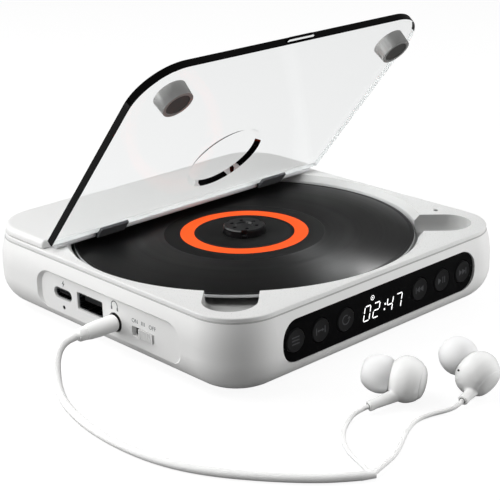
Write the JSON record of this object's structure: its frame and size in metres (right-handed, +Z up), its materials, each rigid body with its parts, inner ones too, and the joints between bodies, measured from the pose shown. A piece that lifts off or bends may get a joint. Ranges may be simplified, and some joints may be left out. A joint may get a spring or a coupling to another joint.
{
  "type": "portable compact disc player",
  "caption": "Square white portable disc player with a clear hinged lid standing open over its disc, front keys and display, side sockets, and wired earphones plugged in.",
  "frame": {"origin": "on the table at the middle of the case's underside, below the spindle", "axes": "+X to the right along the front panel, +Y to the rear (hinge side), +Z up along the spindle"},
  "size_m": [0.1716, 0.189, 0.0991],
  "materials": {
    "case_white": "satin white moulding",
    "lid_clear": "clear, polished",
    "stop_metal": "satin",
    "pad_dark": "matte",
    "knuckle_grey": "matte",
    "steel": "ground",
    "panel_black": "gloss",
    "key_grey": "satin",
    "dome_rubber": "matte",
    "board_green": "satin",
    "cell_wrap": "satin",
    "socket_metal": "bright",
    "socket_black": "matte",
    "knob_white": "satin",
    "light_guide": "clear",
    "foot_rubber": "matte",
    "chassis_grey": "satin",
    "motor_steel": "satin",
    "hub_black": "satin",
    "platter_rubber": "matte",
    "disc_black": "gloss",
    "sled_black": "matte",
    "lens_clear": "clear",
    "plug_metal": "bright",
    "cord_white": "satin",
    "bud_white": "gloss",
    "tip_silicone": "satin"
  },
  "bodies": {
    "case": {"bottom_housing": "case_white", "top_frame": "case_white", "rear_deck": "case_white", "hinge_pins": "steel", "guide_rods": "steel", "case_screws": "steel", "board_screws": "steel", "damper_screws": "steel", "front_lens": "panel_black", "display_module": "panel_black", "button_dome_strip": "dome_rubber", "damper_bushes": "dome_rubber", "main_board": "board_green", "key_board": "board_green", "battery_cell": "cell_wrap", "usb_a_shell": "socket_metal", "usb_c_shell": "socket_metal", "usb_a_insert": "socket_black", "usb_c_insert": "socket_black", "headphone_socket": "socket_black", "slide_switch_body": "socket_black", "lid_sensor": "socket_black", "status_light_pipe": "light_guide", "rubber_feet": "foot_rubber", "drive_chassis": "chassis_grey", "spindle_motor": "motor_steel", "sled_motor": "motor_steel", "earphone_plug": "plug_metal", "plug_grip": "cord_white", "earphone_cord": "cord_white", "cord_splitter": "cord_white", "left_cord": "cord_white", "right_cord": "cord_white", "left_earbud": "bud_white", "right_earbud": "bud_white", "left_ear_tip": "tip_silicone", "right_ear_tip": "tip_silicone"},
    "lid": {"lid_panel": "lid_clear", "lid_posts": "stop_metal", "lid_post_pads": "pad_dark", "hinge_knuckles": "knuckle_grey"},
    "spindle": {"spindle_shaft": "steel", "spindle_hub": "hub_black", "hub_pawls": "hub_black", "platter_ring": "platter_rubber", "compact_disc": "disc_black"},
    "sled": {"pickup_sled": "sled_black", "objective_lens": "lens_clear"},
    "feed_screw": {"lead_screw": "steel"},
    "switch_knob": {"slide_switch_knob": "knob_white"},
    "mode_key": {"mode_button": "key_grey"},
    "repeat_key": {"repeat_button": "key_grey"},
    "loop_key": {"loop_button": "key_grey"},
    "previous_key": {"previous_button": "key_grey"},
    "play_key": {"play_button": "key_grey"},
    "next_key": {"next_button": "key_grey"}
  },
  "joints": [
    {"name": "lid_hinge", "type": "hinge", "parent": "case", "child": "lid", "pos_m": [0, 0.0287, 0.0289], "axis": [-1, 0, 0], "range_deg": [-50, 40]},
    {"name": "spindle_spin", "type": "hinge", "parent": "case", "child": "spindle", "pos_m": [0, 0, 0.02], "axis": [0, 0, 1], "continuous": true},
    {"name": "sled_slide", "type": "slide", "parent": "case", "child": "sled", "axis": [0.7071, 0.7071, 0], "range_m": [0, 0.0325]},
    {"name": "lead_screw_turn", "type": "hinge", "parent": "case", "child": "feed_screw", "pos_m": [0.03359, 0.00884, 0.011], "axis": [0.7071, 0.7071, 0], "range_deg": [-5, 3905]},
    {"name": "switch_slide", "type": "slide", "parent": "case", "child": "switch_knob", "axis": [0, 1, 0], "range_m": [0, 0.0035]},
    {"name": "mode_press", "type": "slide", "parent": "case", "child": "mode_key", "axis": [0, 1, 0], "range_m": [0, 0.0008], "stiffness_N_per_m": 400, "springref_m": -0.001},
    {"name": "repeat_press", "type": "slide", "parent": "case", "child": "repeat_key", "axis": [0, 1, 0], "range_m": [0, 0.0008], "stiffness_N_per_m": 400, "springref_m": -0.001},
    {"name": "loop_press", "type": "slide", "parent": "case", "child": "loop_key", "axis": [0, 1, 0], "range_m": [0, 0.0008], "stiffness_N_per_m": 400, "springref_m": -0.001},
    {"name": "previous_press", "type": "slide", "parent": "case", "child": "previous_key", "axis": [0, 1, 0], "range_m": [0, 0.0008], "stiffness_N_per_m": 400, "springref_m": -0.001},
    {"name": "play_press", "type": "slide", "parent": "case", "child": "play_key", "axis": [0, 1, 0], "range_m": [0, 0.0008], "stiffness_N_per_m": 400, "springref_m": -0.001},
    {"name": "next_press", "type": "slide", "parent": "case", "child": "next_key", "axis": [0, 1, 0], "range_m": [0, 0.0008], "stiffness_N_per_m": 400, "springref_m": -0.001}
  ],
  "couplings": [
    {"joint": "lead_screw_turn", "follows": "sled_slide", "rad_per_m": 2094.4}
  ]
}
